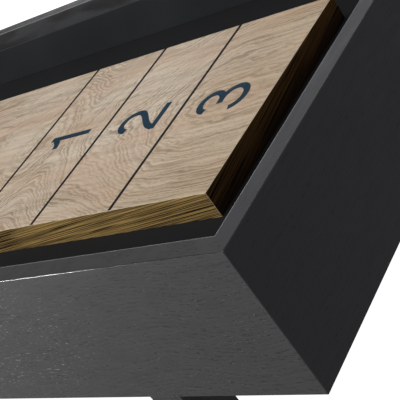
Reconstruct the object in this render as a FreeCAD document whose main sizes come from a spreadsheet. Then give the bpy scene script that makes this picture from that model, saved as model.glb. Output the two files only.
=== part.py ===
"""A free-standing twelve foot shuffleboard table.

A mitred cradle of four aprons holds an oak playfield, with a gutter all the way round it. Under the gutter
floor, cross members carry the playfield, and three climatic adjusters are screwed to its underside. Two leg
frames are bolted up into the outermost cross members, and each leg stands on a levelling foot.

The origin is on the floor under the middle of the table. X runs along the table, Y across it, from the near
side to the far side, and Z up. All sizes are in millimetres.
"""

import FreeCAD, Part
import math
import os
import Sketcher
from types import SimpleNamespace

SHEET = "Dimensions"

# name, value and meaning of every driving dimension
DIMENSIONS = [
    ("table_length", 3658, "outside length of the cradle, twelve feet"),
    ("table_width", 772, "outside width of the cradle"),
    ("rim_height", 813, "top of the rim over the floor"),
    ("apron_height", 204, "depth of the four aprons"),
    ("apron_thickness", 25.4, "thickness of the aprons, which is the width of the rim"),
    ("rim_round", 1.2, "rounding of the aprons' edges and of the cradle's outside corners"),
    ("liner_drop", 31, "top edge of the gutter liners below the rim"),
    ("liner_thickness", 3, "thickness of the gutter liners"),
    ("playfield_drop", 61.5, "playing surface below the rim"),
    ("playfield_width", 406, "width of the playing surface"),
    ("playfield_thickness", 38, "thickness of the playfield"),
    ("end_gutter", 150, "from the end of the playfield to the end apron"),
    ("top_layer", 4, "thickness of the oak top layer"),
    ("lipping", 2, "thickness of the oak lippings round core and top layer"),
    ("arris", 0.6, "rounding of the playfield's upper edges and corners"),
    ("gutter_panel", 12, "thickness of the gutter floor"),
    ("panel_lap", 15, "how far the gutter floor runs under the playfield"),
    ("ledger_width", 20, "ledger strips under the gutter floor, across"),
    ("ledger_height", 30, "ledger strips under the gutter floor, up"),
    ("member_depth", 75, "depth of the cross members under the gutter floor"),
    ("member_thickness", 32, "thickness of the cross members"),
    ("bearer_width", 40, "width of the bearers under the playfield's ends"),
    ("bearer_depth", 45, "depth of the bearers under the playfield's ends"),
    ("post_side", 40, "section of the square posts in the cradle's corners"),
    ("post_height", 56, "height of the corner posts"),
    ("leg_along", 51.5, "leg section along the table"),
    ("leg_across", 65, "leg section across the table"),
    ("leg_from_end", 248, "from the end of the cradle to the outside of a leg"),
    ("leg_bottom", 41, "underside of the legs over the floor"),
    ("leg_round", 1.5, "rounding of the legs' long edges"),
    ("rail_along", 40, "top rail and stretcher section along the table"),
    ("rail_depth", 55, "depth of the top rail and of the stretcher"),
    ("stretcher_height", 85, "underside of the stretcher over the floor"),
    ("tenon_length", 20, "tenons on the rails"),
    ("tenon_shoulder", 8, "how far the tenons stand in from the rail's faces"),
    ("frame_bolt", 8, "diameter of the leg frame bolts"),
    ("bolt_hole", 9, "clearance hole for them in the top rail"),
    ("bolt_grip", 20, "how far the bolts screw into their inserts"),
    ("insert_outside", 12, "outside diameter of the bolts' threaded inserts"),
    ("insert_depth", 25, "length of the bolts' threaded inserts"),
    ("washer_thickness", 1.6, "thickness of the bolts' washers"),
    ("thread_play", 0.05, "radial clearance of every running screw thread"),
    ("foot_out", 15, "how far the levelling feet are screwed out of the legs"),
    ("stem_size", 10, "diameter of the levelling feet's stems"),
    ("stem_length", 62, "length of a stem over its hexagon"),
    ("stem_hexagon", 17, "across flats of a stem's hexagon"),
    ("hexagon_height", 9, "height of a stem's hexagon"),
    ("nut_outside", 15, "outside diameter of a leg's threaded insert"),
    ("nut_depth", 20, "length of a leg's threaded insert"),
    ("flange_size", 24, "flange diameter of a leg's threaded insert"),
    ("flange_height", 2, "flange thickness of a leg's threaded insert"),
    ("leg_hole", 12, "diameter of the hole over a leg's threaded insert"),
    ("leg_hole_depth", 70, "depth of that hole from the leg's underside"),
    ("pad_size", 50, "diameter of the levelling feet's pads"),
    ("pad_height", 15, "height of the pads"),
    ("pad_base", 6, "height of a pad's straight rim"),
    ("socket_size", 20, "diameter of the socket that a stem turns in"),
    ("socket_depth", 5, "depth of that socket"),
    ("adjuster_spread", 250, "between the adjuster brackets' outer faces"),
    ("bracket_plate", 6, "thickness of an adjuster bracket"),
    ("bracket_foot", 60, "length of its flange under the playfield"),
    ("bracket_width", 50, "width of an adjuster bracket"),
    ("bracket_depth", 54, "how far an adjuster bracket reaches down"),
    ("bracket_bend", 4, "inside radius of its bend"),
    ("rod_drop", 34, "adjuster rod's axis below the playfield"),
    ("rod_size", 12, "diameter of the adjuster rods"),
    ("rod_stickout", 14, "how far a rod stands out of its brackets"),
    ("rod_hexagon", 22, "across flats of a rod's middle hexagon"),
    ("rod_hexagon_length", 36, "length of a rod's middle hexagon"),
    ("angle_side", 36, "side of the small angle brackets"),
    ("angle_width", 24, "width of the small angle brackets"),
    ("angle_plate", 3, "thickness of the small angle brackets"),
    ("screw_size", 4, "shank diameter of the wood screws"),
    ("screw_head", 8, "head diameter of the wood screws"),
    ("screw_head_height", 2.4, "height of their heads"),
    ("screw_length", 18, "length of the short screws"),
    ("post_screw_length", 54, "length of the corner posts' screws"),
    ("screw_hole", 5, "holes for the screws in the brackets"),
]

CROSS_MEMBERS = 6
HOLD_DOWN_MEMBERS = (2, 5)
# each adjuster's place, in spaces between cross members from the middle of the table
ADJUSTER_BAYS = {1: -2, 2: 0, 3: 2}
# the leg frame bolts' places, as shares of the top rail's half length
BOLT_ROWS = (-0.8, -0.3, 0.3, 0.8)
UNTURNED = FreeCAD.Rotation()


class Length:
    """A length with both its number and the expression on the sheet that it comes from."""

    def __init__(self, value, text):
        self.value = value
        self.text = text

    def __add__(self, other):
        other = as_length(other)
        return Length(self.value + other.value, f"({self.text} + {other.text})")

    def __sub__(self, other):
        other = as_length(other)
        return Length(self.value - other.value, f"({self.text} - {other.text})")

    def __mul__(self, factor):
        return Length(self.value * factor, f"({self.text} * {factor:.9f})")

    def __truediv__(self, divisor):
        return Length(self.value / divisor, f"({self.text} / {divisor:.9f})")

    def __neg__(self):
        return Length(-self.value, f"(0 - {self.text})")

    __radd__ = __add__
    __rmul__ = __mul__


def as_length(thing):
    """A plain number as a length of its own."""
    if isinstance(thing, Length):
        return thing
    return Length(float(thing), f"{thing:.9f}" if thing >= 0 else f"(0 - {-thing:.9f})")


doc = FreeCAD.newDocument("shuffleboard_table")
sheet = doc.addObject("Spreadsheet::Sheet", SHEET)
d = SimpleNamespace()
for row, (alias, value, meaning) in enumerate(DIMENSIONS, start=1):
    sheet.set(f"A{row}", alias)
    sheet.set(f"B{row}", str(value))
    sheet.setAlias(f"B{row}", alias)
    sheet.set(f"C{row}", meaning)
    setattr(d, alias, Length(float(value), f"{SHEET}.{alias}"))
doc.recompute()

# heights and places that follow from the driving dimensions
half_length = d.table_length / 2
half_width = d.table_width / 2
inner_x = half_length - d.apron_thickness
inner_y = half_width - d.apron_thickness
apron_bottom = d.rim_height - d.apron_height
liner_top = d.rim_height - d.liner_drop
board_top = d.rim_height - d.playfield_drop
floor_top = board_top - d.playfield_thickness
panel_bottom = floor_top - d.gutter_panel
board_x = inner_x - d.end_gutter
board_y = d.playfield_width / 2
lap_x = board_x - d.panel_lap
lap_y = board_y - d.panel_lap
ledger_bottom = panel_bottom - d.ledger_height
ledger_y = inner_y - d.ledger_width
member_bottom = panel_bottom - d.member_depth
frame_x = half_length - d.leg_from_end - d.leg_along / 2
leg_y = inner_y - d.leg_across / 2
rail_span = (inner_y - d.leg_across) * 2
top_rail_bottom = member_bottom - d.rail_depth
member_spacing = frame_x * 2 / (CROSS_MEMBERS - 1)
hexagon_bottom = d.leg_bottom - d.flange_height - d.foot_out - d.hexagon_height

nodes = []


def bind(thing, prop, length):
    thing.setExpression(prop, as_length(length).text)


def put(thing, place, turned=UNTURNED):
    """Turns a piece about its own origin and moves it to a place bound to the sheet."""
    x, y, z = (as_length(part) for part in place)
    thing.Placement = FreeCAD.Placement(FreeCAD.Vector(x.value, y.value, z.value), turned)
    for axis, length in (("x", x), ("y", y), ("z", z)):
        bind(thing, f"Placement.Base.{axis}", length)
    return thing


def about_z(degrees):
    return FreeCAD.Rotation(FreeCAD.Vector(0, 0, 1), degrees)


def aimed(z_to, x_to):
    """The rotation that carries a piece's Z and X axes to the directions given."""
    z_axis, x_axis = FreeCAD.Vector(*z_to), FreeCAD.Vector(*x_to)
    return FreeCAD.Rotation(x_axis, z_axis.cross(x_axis), z_axis, "ZXY")


def node(thing, label):
    """Names a finished piece, which is written to parts/ under that name."""
    thing.Label = label
    nodes.append(thing)
    return thing


def box(name, sizes, place):
    """A plain board of the given sizes with its lowest corner at the place."""
    board = doc.addObject("Part::Box", name)
    for prop, length in zip(("Length", "Width", "Height"), sizes):
        bind(board, prop, length)
    return put(board, place)


def copies(name, master, placed):
    """Linked copies of one piece, each at a (place, rotation)."""
    made = []
    for place, turned in placed:
        link = doc.addObject("App::Link", name)
        link.LinkedObject = master
        made.append(put(link, place, turned))
    return made


def group(label, members):
    """Identical pieces kept in one node as separate solids."""
    together = doc.addObject("Part::Compound", label)
    together.Links = members
    return node(together, label)


def new_body(name):
    return doc.addObject("PartDesign::Body", name)


def new_sketch(body, role, offset=None):
    """A sketch on one of the body's own planes, moved along its normal by a bound offset."""
    sketch = body.newObject("Sketcher::SketchObject", "Sketch")
    own_plane = next(feature for feature in body.Origin.OriginFeatures if feature.Role == role)
    sketch.AttachmentSupport = [(own_plane, "")]
    sketch.MapMode = "FlatFace"
    if offset is not None:
        bind(sketch, "AttachmentOffset.Base.z", offset)
    return sketch


def hold(sketch, constraint, length):
    index = sketch.addConstraint(constraint)
    bind(sketch, f"Constraints[{index}]", length)


def hold_point(sketch, geometry, end, x, y):
    """Holds one point of an edge at bound coordinates of the sketch."""
    for kind, length in (("DistanceX", x), ("DistanceY", y)):
        hold(sketch, Sketcher.Constraint(kind, -1, 1, geometry, end, length.value), length)


def polygon(body, role, corners, offset=None):
    """A closed outline of straight edges with its corners at bound coordinates."""
    sketch = new_sketch(body, role, offset)
    spots = [(as_length(x), as_length(y)) for x, y in corners]
    points = [FreeCAD.Vector(x.value, y.value, 0) for x, y in spots]
    count = len(points)
    for i in range(count):
        sketch.addGeometry(Part.LineSegment(points[i], points[(i + 1) % count]), False)
    for i in range(count):
        sketch.addConstraint(Sketcher.Constraint("Coincident", i, 2, (i + 1) % count, 1))
    for i, (x, y) in enumerate(spots):
        hold_point(sketch, i, 1, x, y)
    return sketch


def rectangle(body, role, half_wide, low, high, offset=None):
    """A rectangle centred on the sketch's upright axis."""
    corners = [(-half_wide, low), (half_wide, low), (half_wide, high), (-half_wide, high)]
    return polygon(body, role, corners, offset)


def circles(body, role, spots, diameter, offset=None):
    """Circles of one bound diameter with their centres at bound coordinates."""
    sketch = new_sketch(body, role, offset)
    for x, y in spots:
        x, y = as_length(x), as_length(y)
        centre = FreeCAD.Vector(x.value, y.value, 0)
        ring = sketch.addGeometry(Part.Circle(centre, FreeCAD.Vector(0, 0, 1), diameter.value / 2), False)
        hold_point(sketch, ring, 3, x, y)
        hold(sketch, Sketcher.Constraint("Diameter", ring, diameter.value), diameter)
    return sketch


def hexagon(body, role, across_flats):
    """A regular hexagon round the sketch's origin."""
    corners = []
    for k in range(6):
        angle = math.radians(60 * k)
        reach = across_flats / math.sqrt(3)
        corners.append((reach * math.cos(angle), reach * math.sin(angle)))
    return polygon(body, role, corners)


def pad(body, sketch, length, reverse=False, both_ways=False):
    """Adds a prism along the sketch's normal, against it, or half each way."""
    feature = body.newObject("PartDesign::Pad", "Pad")
    feature.Profile = sketch
    feature.Reversed = reverse
    feature.Midplane = both_ways
    bind(feature, "Length", length)
    doc.recompute()
    return feature


def pocket(body, sketch, depth, along_normal=False):
    """Cuts against the sketch's normal or along it, and stops the build if that took nothing away."""
    before = body.Shape.Volume
    feature = body.newObject("PartDesign::Pocket", "Pocket")
    feature.Profile = sketch
    feature.Reversed = along_normal
    bind(feature, "Length", depth)
    doc.recompute()
    if not body.Shape.Volume < before - 1:
        raise RuntimeError(f"a pocket in {body.Label} cut nothing")
    return feature


def revolve(body, half_outline):
    """A full turn of a half outline about the body's Z axis."""
    feature = body.newObject("PartDesign::Revolution", "Revolution")
    feature.Profile = half_outline
    feature.ReferenceAxis = (half_outline, ["V_Axis"])
    feature.Angle = 360
    doc.recompute()
    return feature


def break_edges(body, base, amount, wanted, kind="Fillet"):
    """Fillets or chamfers the edges of a feature for which wanted(edge) is true."""
    names = [f"Edge{i}" for i, edge in enumerate(base.Shape.Edges, start=1) if wanted(edge)]
    feature = body.newObject(f"PartDesign::{kind}", kind)
    feature.Base = (base, names)
    bind(feature, "Radius" if kind == "Fillet" else "Size", amount)
    doc.recompute()
    return feature


def runs_along_x(edge):
    return edge.BoundBox.XLength > 0.99 * edge.Length


def runs_along_z(edge):
    return edge.BoundBox.ZLength > 0.99 * edge.Length


# ---------------------------------------------------------------- cradle


def boards_round(prefix, outer, inner, height, bottom):
    """Four boards that fill the plan between two rectangles, the long ones running right through.

    outer and inner are the rectangles' half sizes along X and Y.
    """
    (out_x, out_y), (in_x, in_y) = outer, inner
    long_sizes = (out_x * 2, out_y - in_y, height)
    short_sizes = (out_x - in_x, in_y * 2, height)
    for name, sizes, x, y in (
        ("near", long_sizes, -out_x, -out_y),
        ("far", long_sizes, -out_x, in_y),
        ("left_end", short_sizes, -out_x, -in_y),
        ("right_end", short_sizes, in_x, -in_y),
    ):
        label = f"{prefix}_{name}"
        node(box(label, sizes, (x, y, bottom)), label)


def mitred_round(prefix, outer, thickness, height, bottom, rounding, rounded):
    """Four boards on edge, mitred into each other, made by cutting one rounded ring at its corners.

    outer is the ring's half size along X and Y, and rounded(edge, is_outside) picks the edges to round.
    """
    out_x, out_y = outer
    in_x, in_y = out_x - thickness, out_y - thickness
    ring = new_body(f"{prefix}_ring")
    pad(ring, rectangle(ring, "XY_Plane", out_x, -out_y, out_y), height)
    hollow = pocket(ring, rectangle(ring, "XY_Plane", in_x, -in_y, in_y), height, along_normal=True)

    def wanted(edge):
        middle = edge.BoundBox.Center
        is_outside = abs(middle.x) > out_x.value - 0.1 or abs(middle.y) > out_y.value - 0.1
        return rounded(edge, is_outside)

    break_edges(ring, hollow, rounding, wanted)
    put(ring, (0, 0, bottom))

    beyond = (out_x + thickness, out_y + thickness)
    within = (in_x - thickness, in_y - thickness)
    corners = [(-1, -1), (1, -1), (1, 1), (-1, 1)]
    for i, name in enumerate(("near", "right_end", "far", "left_end")):
        start, end = corners[i], corners[(i + 1) % 4]
        wedge = new_body(f"{prefix}_{name}_wedge")
        plan = [
            (reach[0] * sx, reach[1] * sy)
            for reach, (sx, sy) in ((beyond, start), (beyond, end), (within, end), (within, start))
        ]
        pad(wedge, polygon(wedge, "XY_Plane", plan), height)
        put(wedge, (0, 0, bottom))
        board = doc.addObject("Part::Common", f"{prefix}_{name}")
        board.Base = ring
        board.Tool = wedge
        node(board, f"{prefix}_{name}")


def aprons():
    """The cradle's sides, with every edge eased except inside the corners."""

    def rounded(edge, is_outside):
        return is_outside or not runs_along_z(edge)

    outer = (half_length, half_width)
    mitred_round("apron", outer, d.apron_thickness, d.apron_height, apron_bottom, d.rim_round, rounded)


def gutters():
    """Thin liners on the inside of the aprons, the gutter floor, and the ledgers that it lies on."""
    inside = (inner_x, inner_y)
    within_liners = (inner_x - d.liner_thickness, inner_y - d.liner_thickness)
    boards_round("gutter_liner", inside, within_liners, liner_top - floor_top, floor_top)
    boards_round("gutter_floor", inside, (lap_x, lap_y), d.gutter_panel, panel_bottom)
    boards_round("ledger", inside, (inner_x - d.ledger_width, ledger_y), d.ledger_height, ledger_bottom)


def end_bearers():
    """Battens between the long ledgers, under the joints between end gutter floors and playfield."""
    sizes = (d.bearer_width, ledger_y * 2, d.bearer_depth)
    bottom = panel_bottom - d.bearer_depth
    for name, middle in (("left", -lap_x), ("right", lap_x)):
        label = f"end_bearer_{name}"
        node(box(label, sizes, (middle - d.bearer_width / 2, -ledger_y, bottom)), label)


def wood_screw(name, length):
    """A pan head screw with its head's underside at the origin and its point towards -Z."""
    body = new_body(name)
    shank, head = d.screw_size / 2, d.screw_head / 2
    crown = head - d.screw_head_height / 2
    half = [
        (0, -length),
        (shank, d.screw_size - length),
        (shank, 0),
        (head, 0),
        (crown, d.screw_head_height),
        (0, d.screw_head_height),
    ]
    revolve(body, polygon(body, "XZ_Plane", half))
    return body


def corner_posts():
    """Square posts under the ledgers in the cradle's corners, screwed to both aprons."""
    screw = wood_screw("PostScrew", d.post_screw_length)
    posts, screws = [], []
    low = ledger_bottom - d.post_height
    for sx in (-1, 1):
        for sy in (-1, 1):
            corner = ((inner_x - d.post_side / 2) * sx, (inner_y - d.post_side / 2) * sy)
            place = (corner[0] - d.post_side / 2, corner[1] - d.post_side / 2, low)
            posts.append(box("CornerPost", (d.post_side, d.post_side, d.post_height), place))
            for share in (0.25, 0.65):
                level = low + d.post_height * share
                into_side = ((inner_x - d.post_side * 0.35) * sx, (inner_y - d.post_side) * sy, level)
                end_level = level + d.screw_head
                into_end = ((inner_x - d.post_side) * sx, (inner_y - d.post_side * 0.65) * sy, end_level)
                screws.append((into_side, aimed(z_to=(0, -sy, 0), x_to=(1, 0, 0))))
                screws.append((into_end, aimed(z_to=(-sx, 0, 0), x_to=(0, 1, 0))))
    group("corner_posts", posts)
    group("corner_post_screws", copies("PostScrewCopy", screw, screws))


def member_x(number):
    """The X of the middle of a cross member; the first and last ones stand over the leg frames."""
    return member_spacing * (number - (CROSS_MEMBERS + 1) / 2)


def cross_members():
    """Members notched for the ledgers and raised in the middle up to the playfield's underside.

    The first and the last one are bored for the leg frame bolts' threaded inserts.
    """
    steps = [
        (lap_y, floor_top - member_bottom),
        (lap_y, panel_bottom - member_bottom),
        (ledger_y, panel_bottom - member_bottom),
        (ledger_y, ledger_bottom - member_bottom),
        (inner_y, ledger_bottom - member_bottom),
        (inner_y, 0),
    ]
    mirrored = [(-y, z) for y, z in reversed(steps)]
    for number in range(1, CROSS_MEMBERS + 1):
        body = new_body(f"cross_member_{number}")
        pad(body, polygon(body, "YZ_Plane", steps + mirrored), d.member_thickness, both_ways=True)
        if number in (1, CROSS_MEMBERS):
            spots = [(0, rail_span / 2 * share) for share in BOLT_ROWS]
            bores = circles(body, "XY_Plane", spots, d.insert_outside)
            pocket(body, bores, d.insert_depth, along_normal=True)
        put(body, (member_x(number), 0, member_bottom))
        node(body, f"cross_member_{number}")


def angle_bracket():
    """A small steel angle with one leg along +X, the other along +Y, and one screw hole in each."""
    body = new_body("AngleBracket")
    profile = [
        (0, 0),
        (d.angle_side, 0),
        (d.angle_side, d.angle_plate),
        (d.angle_plate, d.angle_plate),
        (d.angle_plate, d.angle_side),
        (0, d.angle_side),
    ]
    pad(body, polygon(body, "XY_Plane", profile), d.angle_width, both_ways=True)
    hole = [(d.angle_side * 0.65, 0)]
    pocket(body, circles(body, "XZ_Plane", hole, d.screw_hole), d.angle_plate * 2)
    pocket(body, circles(body, "YZ_Plane", hole, d.screw_hole), d.angle_plate * 2, along_normal=True)
    return body


def bracket_with_screws(corner, along_x, along_y):
    """An angle bracket's place and its two screws' places, for legs along the two directions given."""
    upright = FreeCAD.Vector(*along_x).cross(FreeCAD.Vector(*along_y))
    screws = []
    for run, lift in ((along_x, along_y), (along_y, along_x)):
        head = [
            base + d.angle_side * 0.65 * r + d.angle_plate * u
            for base, r, u in zip(corner, run, lift)
        ]
        screws.append((head, aimed(z_to=lift, x_to=run)))
    return (corner, aimed(z_to=tuple(upright), x_to=along_x)), screws


def angle_brackets():
    """Angles between cross members and aprons, and angles that hold the playfield down on two members."""
    angle = angle_bracket()
    screw = wood_screw("BracketScrew", d.screw_length)
    level = (ledger_bottom + member_bottom) / 2
    brackets, screws = [], []
    for number in range(1, CROSS_MEMBERS + 1):
        inward = 1 if number <= CROSS_MEMBERS / 2 else -1
        face = member_x(number) + d.member_thickness / 2 * inward
        for side in (-1, 1):
            found = [bracket_with_screws((face, inner_y * side, level), (inward, 0, 0), (0, -side, 0))]
            if number in HOLD_DOWN_MEMBERS:
                corner = (face, lap_y / 2 * side, floor_top)
                found.append(bracket_with_screws(corner, (inward, 0, 0), (0, 0, -1)))
            for bracket, its_screws in found:
                brackets.append(bracket)
                screws += its_screws
    group("angle_brackets", copies("AngleBracketCopy", angle, brackets))
    group("angle_bracket_screws", copies("BracketScrewCopy", screw, screws))


# ---------------------------------------------------------------- playfield


def playfield():
    """A core under an oak layer, with an oak lipping on each edge that covers both."""
    inset_x, inset_y = board_x - d.lipping, board_y - d.lipping
    core_height = d.playfield_thickness - d.top_layer
    for label, height, bottom in (
        ("playfield_core", core_height, floor_top),
        ("playfield_top_layer", d.top_layer, floor_top + core_height),
    ):
        node(box(label, (inset_x * 2, inset_y * 2, height), (-inset_x, -inset_y, bottom)), label)

    def rounded(edge, is_outside):
        return is_outside and edge.BoundBox.ZMax > d.playfield_thickness.value - 0.1

    outer = (board_x, board_y)
    mitred_round("playfield_lipping", outer, d.lipping, d.playfield_thickness, floor_top, d.arris, rounded)


def adjuster_bracket():
    """An angle whose flange lies under the playfield and whose upright is bored for the rod.

    The upright's outer face is at Y 0, the bracket reaches towards +Y, and the playfield lies on Z 0.
    """
    body = new_body("AdjusterBracket")
    profile = [
        (0, 0),
        (0, -d.bracket_depth),
        (d.bracket_plate, -d.bracket_depth),
        (d.bracket_plate, -d.bracket_plate),
        (d.bracket_foot, -d.bracket_plate),
        (d.bracket_foot, 0),
    ]
    angle = pad(body, polygon(body, "YZ_Plane", profile), d.bracket_width, both_ways=True)
    plate = d.bracket_plate.value

    def is_inside_bend(edge):
        middle = edge.BoundBox.Center
        return runs_along_x(edge) and abs(middle.y - plate) < 0.1 and abs(middle.z + plate) < 0.1

    break_edges(body, angle, d.bracket_bend, is_inside_bend)
    bore = circles(body, "XZ_Plane", [(0, -d.rod_drop)], d.rod_size + d.thread_play * 2)
    pocket(body, bore, d.bracket_plate * 2)
    spots = [(d.bracket_width * share, d.bracket_foot * 0.7) for share in (-0.3, 0.3)]
    pocket(body, circles(body, "XY_Plane", spots, d.screw_hole), d.bracket_plate * 2)
    return body


def turnbuckle(label):
    """A rod along Y, with opposite threads at its ends and a hexagon in its middle."""
    body = new_body(label)
    length = d.adjuster_spread + d.rod_stickout * 2
    bar = pad(body, circles(body, "XZ_Plane", [(0, 0)], d.rod_size), length, both_ways=True)
    break_edges(body, bar, d.rod_size * 0.08, lambda edge: len(edge.Vertexes) == 1, "Chamfer")
    pad(body, hexagon(body, "XZ_Plane", d.rod_hexagon), d.rod_hexagon_length, both_ways=True)
    return body


def adjusters():
    """Three turnbuckles under the playfield, each screwed into two brackets."""
    bracket = adjuster_bracket()
    screw = wood_screw("AdjusterScrew", d.screw_length + d.bracket_plate)
    brackets, screws = [], []
    for number, bay in ADJUSTER_BAYS.items():
        x = member_spacing * bay
        rod = turnbuckle(f"adjuster_turnbuckle_{number}")
        node(put(rod, (x, 0, floor_top - d.rod_drop)), f"adjuster_turnbuckle_{number}")
        for side, turn in ((-1, 0), (1, 180)):
            brackets.append(((x, d.adjuster_spread / 2 * side, floor_top), about_z(turn)))
            hole_y = (d.adjuster_spread / 2 - d.bracket_foot * 0.7) * side
            for share in (-0.3, 0.3):
                head = (x + d.bracket_width * share, hole_y, floor_top - d.bracket_plate)
                screws.append((head, aimed(z_to=(0, 0, -1), x_to=(1, 0, 0))))
    group("adjuster_brackets", copies("AdjusterBracketCopy", bracket, brackets))
    group("adjuster_screws", copies("AdjusterScrewCopy", screw, screws))


# ---------------------------------------------------------------- leg frames


def tenon_outline(body, bottom, offset=None):
    """The section of a rail's tenon, for a rail whose underside is at the height given."""
    cheek = d.rail_along / 2 - d.tenon_shoulder
    low, high = bottom + d.tenon_shoulder, bottom + d.rail_depth - d.tenon_shoulder
    return rectangle(body, "XZ_Plane", cheek, low, high, offset)


def leg(label, inner_side):
    """A post on the middle of its underside, with mortises in its inner side, which is 1 for +Y or -1."""
    body = new_body(label)
    height = member_bottom - d.leg_bottom
    section = rectangle(body, "XY_Plane", d.leg_along / 2, -d.leg_across / 2, d.leg_across / 2)
    break_edges(body, pad(body, section, height), d.leg_round, runs_along_z)
    for rail_bottom in (height - d.rail_depth, d.stretcher_height - d.leg_bottom):
        # the XZ plane's normal points towards -Y
        mouth = tenon_outline(body, rail_bottom, offset=d.leg_across / 2 * -inner_side)
        pocket(body, mouth, d.tenon_length, along_normal=inner_side > 0)
    for diameter, depth in ((d.nut_outside, d.nut_depth), (d.leg_hole, d.leg_hole_depth)):
        pocket(body, circles(body, "XY_Plane", [(0, 0)], diameter), depth, along_normal=True)
    return body


def rail(label, place, bored=False):
    """A rail between the two legs of a frame, with a tenon on each end and bolt holes if it is bored."""
    body = new_body(label)
    section = rectangle(body, "XZ_Plane", d.rail_along / 2, 0, d.rail_depth)
    pad(body, section, rail_span, both_ways=True)
    pad(body, tenon_outline(body, as_length(0)), rail_span + d.tenon_length * 2, both_ways=True)
    if bored:
        spots = [(0, rail_span / 2 * share) for share in BOLT_ROWS]
        pocket(body, circles(body, "XY_Plane", spots, d.bolt_hole), d.rail_depth * 2, along_normal=True)
    put(body, place)
    return node(body, label)


def frame_bolt():
    """A hexagon bolt standing up from the underside of its washer, which is the origin."""
    body = new_body("FrameBolt")
    pad(body, hexagon(body, "XY_Plane", d.frame_bolt * 1.6), d.frame_bolt * 0.66, reverse=True)
    length = d.washer_thickness + d.rail_depth + d.bolt_grip
    pad(body, circles(body, "XY_Plane", [(0, 0)], d.frame_bolt), length)
    return body


def washer():
    """A flat washer standing on the origin."""
    body = new_body("FrameWasher")
    pad(body, circles(body, "XY_Plane", [(0, 0)], d.frame_bolt * 2.1), d.washer_thickness)
    hole = circles(body, "XY_Plane", [(0, 0)], d.frame_bolt * 1.05)
    pocket(body, hole, d.washer_thickness * 2, along_normal=True)
    return body


def bolt_insert():
    """A threaded insert standing up from the origin."""
    body = new_body("FrameInsert")
    pad(body, circles(body, "XY_Plane", [(0, 0)], d.insert_outside), d.insert_depth)
    bore = circles(body, "XY_Plane", [(0, 0)], d.frame_bolt + d.thread_play * 2)
    pocket(body, bore, d.insert_depth * 2, along_normal=True)
    return body


def leg_frames():
    """Two frames of two legs, a top rail and a stretcher, bolted up into the outermost cross members."""
    for end, sign in (("left", -1), ("right", 1)):
        x = frame_x * sign
        for side, inner_side in (("near", 1), ("far", -1)):
            label = f"leg_{end}_{side}"
            node(put(leg(label, inner_side), (x, leg_y * -inner_side, d.leg_bottom)), label)
        rail(f"leg_top_rail_{end}", (x, 0, top_rail_bottom), bored=True)
        rail(f"leg_stretcher_{end}", (x, 0, d.stretcher_height))
    spots = [(frame_x * sign, rail_span / 2 * share) for sign in (-1, 1) for share in BOLT_ROWS]
    under_rail = [((x, y, top_rail_bottom - d.washer_thickness), UNTURNED) for x, y in spots]
    in_member = [((x, y, member_bottom), UNTURNED) for x, y in spots]
    group("leg_frame_bolts", copies("FrameBoltCopy", frame_bolt(), under_rail))
    group("leg_frame_washers", copies("FrameWasherCopy", washer(), under_rail))
    group("leg_frame_inserts", copies("FrameInsertCopy", bolt_insert(), in_member))


# ---------------------------------------------------------------- levelling feet


def foot_insert():
    """A leg's threaded insert standing up from the leg's underside, with its flange below."""
    body = new_body("FootInsert")
    pad(body, circles(body, "XY_Plane", [(0, 0)], d.nut_outside), d.nut_depth)
    pad(body, circles(body, "XY_Plane", [(0, 0)], d.flange_size), d.flange_height, reverse=True)
    bore = circles(body, "XY_Plane", [(0, 0)], d.stem_size + d.thread_play * 2, offset=-d.flange_height)
    pocket(body, bore, d.nut_depth * 2, along_normal=True)
    return body


def foot_stem(label):
    """A stem standing on the underside of its hexagon, with a round foot below that turns in the pad."""
    body = new_body(label)
    pad(body, hexagon(body, "XY_Plane", d.stem_hexagon), d.hexagon_height)
    shank, top = d.stem_size / 2, d.hexagon_height + d.stem_length
    lead = 1.5
    stem = [(0, 0), (shank, 0), (shank, top - lead), (shank - lead, top), (0, top)]
    revolve(body, polygon(body, "XZ_Plane", stem))
    ball, low = d.socket_size / 2 - d.thread_play, d.pad_height - d.socket_depth - hexagon_bottom
    revolve(body, polygon(body, "XZ_Plane", [(0, low), (ball, low), (ball, 0), (0, 0)]))
    return body


def foot_pad(label):
    """A round pad standing on the floor, sloping up to a lip round the stem's socket."""
    body = new_body(label)
    rim, lip, socket = d.pad_size / 2, d.socket_size / 2 + 3, d.socket_size / 2
    half = [
        (0, 0),
        (rim - 1, 0),
        (rim, 1),
        (rim, d.pad_base),
        (lip, d.pad_height),
        (socket, d.pad_height),
        (socket, d.pad_height - d.socket_depth),
        (0, d.pad_height - d.socket_depth),
    ]
    revolve(body, polygon(body, "XZ_Plane", half))
    return body


def levelling_feet():
    """A foot under each leg, screwed part of the way out, and its threaded insert in the leg."""
    places = []
    for end, sx in (("left", -1), ("right", 1)):
        for side, sy in (("near", -1), ("far", 1)):
            x, y = frame_x * sx, leg_y * sy
            places.append(((x, y, d.leg_bottom), UNTURNED))
            stem, base = f"foot_stem_{end}_{side}", f"foot_pad_{end}_{side}"
            node(put(foot_stem(stem), (x, y, hexagon_bottom)), stem)
            node(put(foot_pad(base), (x, y, 0)), base)
    group("foot_inserts", copies("FootInsertCopy", foot_insert(), places))


def check_and_write():
    """Stops on any failed object or bad shape, then writes every node's STEP file."""
    doc.recompute()
    failed = [thing.Label for thing in doc.Objects if "Invalid" in thing.State or "Error" in thing.State]
    if failed:
        raise RuntimeError(f"these objects failed: {failed}")
    labels = [piece.Label for piece in nodes]
    if len(set(labels)) != len(labels):
        raise RuntimeError("two nodes share a name")
    for piece in nodes:
        if piece.Shape.isNull() or not piece.Shape.isValid() or not piece.Shape.Solids:
            raise RuntimeError(f"{piece.Label} has no valid solid")
    os.makedirs("parts", exist_ok=True)
    for piece in nodes:
        piece.Shape.exportStep(f"parts/{piece.Label}.step")
    print(f"{len(nodes)} nodes, {sum(len(piece.Shape.Solids) for piece in nodes)} solids")


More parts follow.
